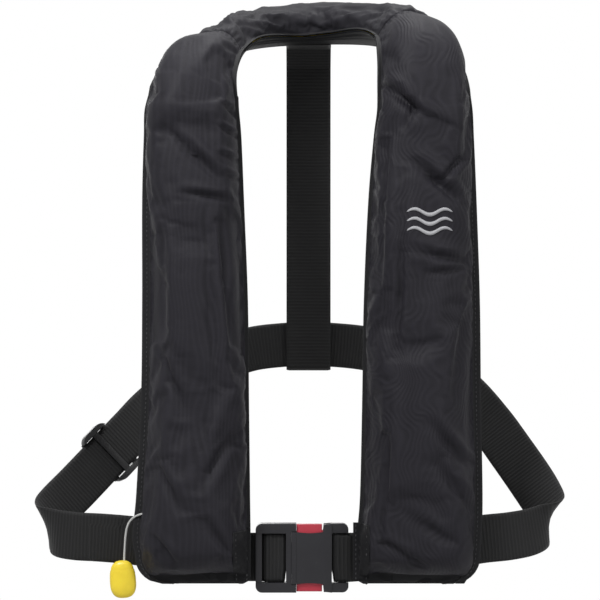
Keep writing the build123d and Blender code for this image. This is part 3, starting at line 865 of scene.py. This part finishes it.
def folded_bladder(rows, material):
    """Air bladder folded flat under the cloth, with its layers showing as soft ripples."""
    verts, uvs = [], []
    inner = rows[11:-11]
    distance = distance_along(inner[:, :3])
    outline = []
    for k in range(33):
        angle = math.pi * k / 32
        layer = 0.035 * math.cos(8 * angle)
        outline.append((math.cos(angle) * (1 + layer), math.sin(angle) ** 0.8 * (1 + layer)))
    for k, (middle, out, up) in enumerate(frames_of(inner)):
        end = min(1.0, (min(distance[k], distance[-1] - distance[k]) + 2) / 30) ** 0.5
        half, height = (inner[k][3] - 17) * (0.6 + 0.4 * end), (inner[k][4] - 16) * end
        for x, y in outline:
            verts.append(middle + out * (x * half) + up * (3.2 + y * height))
            uvs.append((x * half * MM, distance[k] * MM))
    faces = tube_faces(len(inner), len(outline))
    obj = put("folded_bladder", np.array(verts) * MM, faces, uvs=uvs, materials=[material])
    outward(obj)
    own(obj, "jacket", "bladder", slot="bladder_cloth")


# ---------------------------------------------------------------- webbing
def rounded_path(points, radius, step=0.5):
    """A polyline with its corners rounded, as close points."""
    points = [np.array(p, float) for p in points]
    made = [points[0]]
    for before, here, after in zip(points, points[1:], points[2:]):
        a, b = unit(before - here), unit(after - here)
        angle = math.acos(max(-1.0, min(1.0, float(a @ b))))
        if angle > math.pi - 1e-3:
            continue
        reach = min(radius / math.tan(angle / 2), 0.49 * np.linalg.norm(before - here),
                    0.49 * np.linalg.norm(after - here))
        start, end = here + a * reach, here + b * reach
        count = max(3, round((math.pi - angle) * radius / step))
        for k in range(count + 1):
            t = k / count
            corner = here * 0.6 + (start + end) * 0.2
            made.append((1 - t) ** 2 * start + 2 * t * (1 - t) * corner + t * t * end)
    made.append(points[-1])
    return made


def webbing(name, rows, material, rib=0.16, width=WEBBING, thickness=STRAP):
    """Flat strap along rows of middle and width direction, with woven ribs and a rolled edge."""
    count = 15
    travelled = distance_along(rows[:, :3])
    verts, uvs = [], []
    for k, row in enumerate(rows):
        along = unit(rows[min(k + 1, len(rows) - 1)][:3] - rows[max(k - 1, 0)][:3])
        wide = unit(row[3:6] - along * (row[3:6] @ along))
        face = np.cross(along, wide)
        wave = rib * math.sin(2 * math.pi * travelled[k] / RIB_PITCH)
        for side in (1, -1):
            for j in range(count + 1):
                share = j / count if side > 0 else 1 - j / count
                x = (share - 0.5) * width
                edge = width / 2 - abs(x)
                round_off = min(1.0, edge + 0.25) ** 0.5
                lift = thickness / 2 * round_off + (wave if edge > 1.5 else 0)
                verts.append(row[:3] + wide * x + face * (side * lift))
                uvs.append((x * MM, travelled[k] * MM))
    faces = tube_faces(len(rows), 2 * (count + 1))
    obj = put(name, np.array(verts) * MM, faces, uvs=uvs, materials=[material])
    outward(obj)
    return obj


def strap_rows(frames):
    """Close rows along a smooth strap, from a few places with their width directions."""
    return evenly(np.array([[*p, *unit(np.array(w, float))] for p, w in frames], float), 0.82)


def flat_rows(points, radius, wide, step=0.6):
    """Close rows along a strap bent round bars, all with one width direction."""
    line = dense_line(rounded_path(points, radius), step)
    return np.array([[*p, *wide] for p in line])


def level(points):
    return [(x, y, BUCKLE_Z) for x, y in points]


def smooth_step(value, low, high):
    """Eases from zero to one between two values."""
    t = np.clip((value - low) / (high - low), 0, 1)
    return t * t * (3 - 2 * t)


def settle_in_window(obj, bend, bar, shift):
    """Strap lies a little askew in its window, against the bar along its upper part."""
    co = grid_of(obj, 1)[:, 0]
    near = smooth_step(co[:, 0] / MM, bend, bar) if bar > bend else 1 - smooth_step(co[:, 0] / MM, bar, bend)
    near *= co[:, 1] < -0.0815
    near *= np.abs(co[:, 2] / MM - BUCKLE_Z) < 30
    co[:, 0] += shift * MM * near * (0.12 + 0.88 * smooth_step(co[:, 2] / MM, -509, -498))
    write_grid(obj, co)


def waist_belt(material):
    ring = flat_rows(level([(74, -83.8), (27.4, -83.8), (27.4, -91.6), (41, -91.6), (52, -86), (60, -86)]),
                     2.0, DOWN)
    run = strap_rows(BELT)
    obj = webbing("waist_belt_webbing", np.concatenate([ring[:-1], run]), material)
    settle_in_window(obj, 38, 27.4, -2.0)
    return own(obj, "jacket", "waist_belt", slot="webbing")


def buckle_tab(material):
    places = [(-140, -83.7, -477.6), (-118, -83.7, -480.8), (-98, -83.8, -483.8),
              (-80, -84.9, -486.6), (-64, -86, -489), (-52, -86, -490)]
    run = strap_rows([(place, DOWN) for place in places])
    ring = flat_rows(level([(-52, -86), (-37.3, -86), (-37.3, -92.1), (-19.6, -92.1), (-19.6, -83.8),
                            (-66, -83.8)]), 2.0, DOWN)
    obj = webbing("buckle_tab_webbing", np.concatenate([run[:-1], ring]), material)
    settle_in_window(obj, -29, -19.6, 1.3)
    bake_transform(obj)
    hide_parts("buckle_tab")
    return obj


def back_strap(material):
    points = [(62, 6.2), (83, 4.4), (98, -14), (104.2, -60), (104.2, -321), (113, -321), (113, -264),
              (106.6, -250), (106.6, -228)]
    rows = flat_rows([(4, y, z) for y, z in points], 3.6, (1, 0, 0), step=0.82)
    obj = webbing("back_strap_webbing", rows, material)
    return own(obj, "jacket", "back_strap", slot="webbing")


def belt_keeper(name, side, material):
    """Cloth bridge sewn to the back of a chest panel."""
    points = [(-97.4, -447), (-97.4, -450), (-80, -450), (-80, -508), (-97.4, -508), (-97.4, -511)]
    rows = flat_rows([(side * 128, y, z) for y, z in points], 1.6, (1, 0, 0))
    obj = webbing(name + "_cloth", rows, material, rib=0.05, width=28, thickness=1.2)
    return own(obj, "jacket", name, slot="panel_cloth")


# ---------------------------------------------------------------- stitches
def stitches(name, path, lift, material):
    """Short raised threads along a path of points with an outward direction."""
    line = dense_line(np.concatenate([path, lift], axis=1), STITCH + STITCH_GAP)
    verts, faces = [], []
    for a, b in zip(line, line[1:]):
        along = unit(b[:3] - a[:3])
        up = unit(a[3:6])
        side = unit(np.cross(along, up))
        stop = a[:3] + along * STITCH
        base = len(verts)
        for share, rise in ((0, 0), (0.3, 1), (0.7, 1), (1, 0)):
            at = a[:3] * (1 - share) + stop * share
            for s, h in ((-1, 0), (-0.5, 1), (0.5, 1), (1, 0)):
                verts.append(at + side * (s * THREAD) + up * (h * rise * THREAD - 0.15))
        for r in range(3):
            for c in range(4):
                i, j = base + r * 4 + c, base + r * 4 + (c + 1) % 4
                faces.append((i, j, j + 4, i + 4))
        faces.append((base + 3, base + 2, base + 1, base))
        faces.append((base + 12, base + 13, base + 14, base + 15))
    obj = put(name, np.array(verts) * MM, faces, materials=[material])
    outward(obj)
    return own(obj, "jacket")


def rim_stitches(name, rows, ends, material):
    """Two stitch rows on the flat rims of one section."""
    for label, sign, radius in (("outer", 1, CORNER_OUT), ("inner", -1, CORNER_IN)):
        path, lift = [], []
        for row, _, from_end, (middle, out, up) in stations(rows, ends):
            if from_end < 5:
                continue
            half = row[3] - corner_cut(from_end, radius)
            path.append(middle + out * (sign * (half - 4.5)) + up * FLANGE_TOP)
            lift.append(up)
        stitches(f"{name}_{label}_stitches", np.array(path), np.array(lift), material)


# ---------------------------------------------------------------- moulded parts
def softened(node, name, width, material, body, slot, closing=None):
    """A moulded copy of a CAD node with rounded edges, and one face moved where a gap is closed."""
    obj = copy_of(node, name, material)
    b = bmesh.new()
    b.from_mesh(obj.data)
    bmesh.ops.remove_doubles(b, verts=b.verts, dist=1e-5)
    bmesh.ops.dissolve_limit(b, angle_limit=math.radians(1.5), verts=b.verts, edges=b.edges)
    b.to_mesh(obj.data)
    b.free()
    for v in obj.data.vertices:
        if closing and closing[0](v.co.x / MM, v.co.z / MM):
            v.co.x += closing[1] * MM
    bevel = obj.modifiers.new("edge", "BEVEL")
    bevel.width = width * MM
    bevel.segments = 3
    bevel.limit_method = "ANGLE"
    bevel.angle_limit = math.radians(35)
    apply_modifiers(obj)
    obj.data.shade_smooth()
    bpy.ops.object.shade_smooth_by_angle(angle=math.radians(40))
    return own(obj, body, node, slot=slot)


def return_spring(material):
    """Coil round the piercing pin, copied from the CAD coil; the real coil shortens towards its upper seat as
    the pin strikes.
    """
    obj = copy_of("pin_spring", "return_coil", material)
    obj.data.shade_smooth()
    own(obj, "jacket", "pin_spring", slot="pin_steel")
    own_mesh(obj)


def toggle(material):
    """Rounded handle, a little slimmer towards its top, with a fine groove round its upper part."""
    low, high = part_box("pull_toggle")
    middle = (low + high) / 2
    half_x, half_y, half_z, corner = 12.1, 6.4, 17.4, 2.7
    levels, around = 56, 64
    verts = [(0, 0, -half_z)]
    for k in range(1, levels):
        angle = math.pi * k / levels
        z = -signed_power(math.cos(angle), 2 / corner) * half_z
        size = math.sin(angle) ** (2 / corner)
        waist = 1 - 0.035 * math.exp(-((z - 9.5) / 0.7) ** 2) - 0.05 * (z / half_z)
        for j in range(around):
            turn = 2 * math.pi * j / around
            x = signed_power(math.cos(turn), 0.8)
            y = signed_power(math.sin(turn), 0.8)
            verts.append((x * half_x * size * waist, y * half_y * size * waist, z))
    verts.append((0, 0, half_z))
    top = len(verts) - 1
    faces = [(0, 1 + (j + 1) % around, 1 + j) for j in range(around)]
    for k in range(levels - 2):
        for j in range(around):
            a, b = 1 + k * around + j, 1 + k * around + (j + 1) % around
            faces.append((a, b, b + around, a + around))
    last = 1 + (levels - 2) * around
    faces += [(last + j, last + (j + 1) % around, top) for j in range(around)]
    turned = Matrix.Translation(middle) @ Matrix.Rotation(math.radians(-4), 4, "Y")
    obj = put("toggle_handle", [turned @ (Vector(v) * MM) for v in verts], faces, materials=[material])
    outward(obj)
    return own(obj, "toggle", "pull_toggle", slot="toggle_yellow")


def pull_cord(material):
    """Thin cord from the lever to the toggle."""
    curve = bpy.data.curves.new("cord_route", "CURVE")
    curve.dimensions = "3D"
    line = curve.splines.new("NURBS")
    line.points.add(len(CORD) - 1)
    for point, place in zip(line.points, CORD):
        point.co = (*(c * MM for c in place), 1)
    line.order_u = 3
    line.use_endpoint_u = True
    curve.resolution_u = 24
    route = bpy.data.objects.new("cord_route", curve)
    bpy.context.scene.collection.objects.link(route)
    bpy.context.view_layer.update()
    bare = bpy.data.meshes.new_from_object(route)
    curve.bevel_depth = 1.0 * MM
    curve.bevel_resolution = 4
    curve.use_fill_caps = True
    bpy.context.view_layer.update()
    mesh = bpy.data.meshes.new_from_object(route)
    bpy.data.objects.remove(route)
    obj = bpy.data.objects.new("pull_cord_braid", mesh)
    bpy.context.scene.collection.objects.link(obj)
    mesh.materials.clear()
    mesh.materials.append(material)
    mesh.shade_smooth()
    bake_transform(obj)
    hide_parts("pull_cord")


def wave_mark(surface, material):
    """Plain three-stroke wave badge on the wearer's left chest."""
    tree = cloth_tree(surface)
    verts, faces = [], []
    count = 40
    for stroke in range(3):
        base = len(verts)
        for k in range(count + 1):
            t = k / count
            x = 92 + 42 * t
            z = -170 - 8.5 * stroke + 2.6 * math.sin(2 * math.pi * t * 1.5)
            half = 1.7 * math.sin(math.pi * t) ** 0.35 + 0.05
            for s in (1, -1):
                hit = tree.ray_cast(Vector((x, IN_FRONT, z + s * half)) * MM, Vector((0, 1, 0)))[0]
                verts.append((hit.x, hit.y - 0.35 * MM, hit.z))
        for k in range(count):
            a = base + 2 * k
            faces.append((a, a + 1, a + 3, a + 2))
    obj = put("chest_mark", verts, faces, materials=[material])
    thicken(obj, 0.5)
    outward(obj)
    own(obj, "jacket")


def corner_patch(name, surface, x_range, z_range, material, thread):
    """Sewn reinforcement on a lobe's lower inner corner, following the cloth under it."""
    tree = cloth_tree(surface)
    columns, rows = 14, 36

    def on_cloth(x, z):
        hit = tree.ray_cast(Vector((x, IN_FRONT, z)) * MM, Vector((0, 1, 0)))[0]
        return Vector((x, (hit.y / MM if hit else CHEST_Y - FLANGE_TOP) - 0.35, z))

    verts = []
    for r in range(rows + 1):
        for c in range(columns + 1):
            x = x_range[0] + (x_range[1] - x_range[0]) * c / columns
            verts.append(on_cloth(x, z_range[0] + (z_range[1] - z_range[0]) * r / rows) * MM)
    faces = sheet_faces(rows + 1, columns + 1)
    obj = put(name, verts, faces, materials=[material], uvs=[(v[0], v[2]) for v in verts])
    thicken(obj, 1.1)
    outward(obj)
    own(obj, "jacket")
    for k, x in enumerate((x_range[0] + 2.5, x_range[1] - 2.5)):
        path = np.array([on_cloth(x, z) + Vector((0, -0.55, 0)) for z in np.linspace(*z_range, 24)])
        stitches(f"{name}_stitches_{k}", path, np.array([[0, -1.0, 0]] * 24), thread)


# ---------------------------------------------------------------- build
camera()
studio()
LOOK = make_materials()
handle = toggle(LOOK["yellow"])
pull_cord(LOOK["cord"])

path, seams = horseshoe_path()
right_rows = bottom_rows(path[:seams[0] + 1])
left_rows = bottom_rows(path[seams[1]:][::-1])[::-1]
collar_rows = path[seams[0]:seams[1] + 1]
right_cover = cover("right_cover_cloth", right_rows, "start", RIGHT_FOLDS, "right_front_cover",
                    [LOOK["cover"], LOOK["rim"]])
left_cover = cover("left_cover_cloth", left_rows, "end", LEFT_FOLDS, "left_front_cover",
                   [LOOK["cover_left"], LOOK["rim"]])
cover("collar_cover_cloth", collar_rows, "none", [], "collar_cover", [LOOK["collar"], LOOK["rim"]])
lining("right_lining", right_rows, "start", "right_back_panel", LOOK["panel"])
lining("left_lining", left_rows, "end", "left_back_panel", LOOK["panel"])
lining("collar_lining", collar_rows, "none", "collar_back_panel", LOOK["shaded_collar_panel"])
folded_bladder(path, LOOK["bladder"])
rim_stitches("right_rim", right_rows, "start", LOOK["thread"])
rim_stitches("left_rim", left_rows, "end", LOOK["thread"])
wave_mark(left_cover, LOOK["mark"])
corner_patch("right_corner_patch", right_cover, (-66, -51.5), (-510, -462), LOOK["panel"], LOOK["thread"])
corner_patch("left_corner_patch", left_cover, (44.5, 59), (-509, -456), LOOK["panel"], LOOK["thread"])

waist_belt(LOOK["webbing"])
buckle_tab(LOOK["webbing"])
back_strap(LOOK["webbing"])
belt_keeper("right_belt_keeper", -1, LOOK["panel"])
belt_keeper("left_belt_keeper", 1, LOOK["panel"])

softened("buckle_housing", "buckle_housing_shell", 1.0, LOOK["buckle"], "jacket", "buckle_plastic",
         closing=(lambda x, z: abs(x + 12.2) < 0.05, -0.33))
softened("buckle_male_frame", "buckle_male_shell", 1.5, LOOK["buckle"], "buckle_male", "buckle_plastic")
for half in ("upper", "lower"):
    softened(f"{half}_release_arm", f"{half}_press_arm", 0.5, LOOK["red"], f"{half}_arm", "press_red",
             closing=(lambda x, z: abs(x + 7.6) < 0.05 and abs(z - BUCKLE_Z) > 21, -0.45))
softened("belt_slider", "slider_shell", 0.9, LOOK["slider"], "slider", "slider_plastic")

return_spring(LOOK["steel"])

PLAIN = {
    "right_closure_strip": "hook", "left_closure_strip": "hook", "collar_closure_strip": "hook",
    "inflator_body": "inflator", "co2_cylinder": "steel", "seal_washer": "rubber",
    "manual_lever": "lever", "lever_pivot_pin": "steel", "piercing_pin": "steel",
    "valve_stem": "brass", "cap_nut": "brass", "status_indicator": "green", "oral_tube_flange": "rubber",
    "oral_tube": "rubber", "oral_valve_body": "inflator", "valve_poppet": "inflator",
    "valve_dust_cap": "inflator", "whistle": "whistle", "whistle_loop": "webbing",
}
for node, look in PLAIN.items():
    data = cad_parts[node].data
    data.materials.clear()
    data.materials.append(LOOK[look])
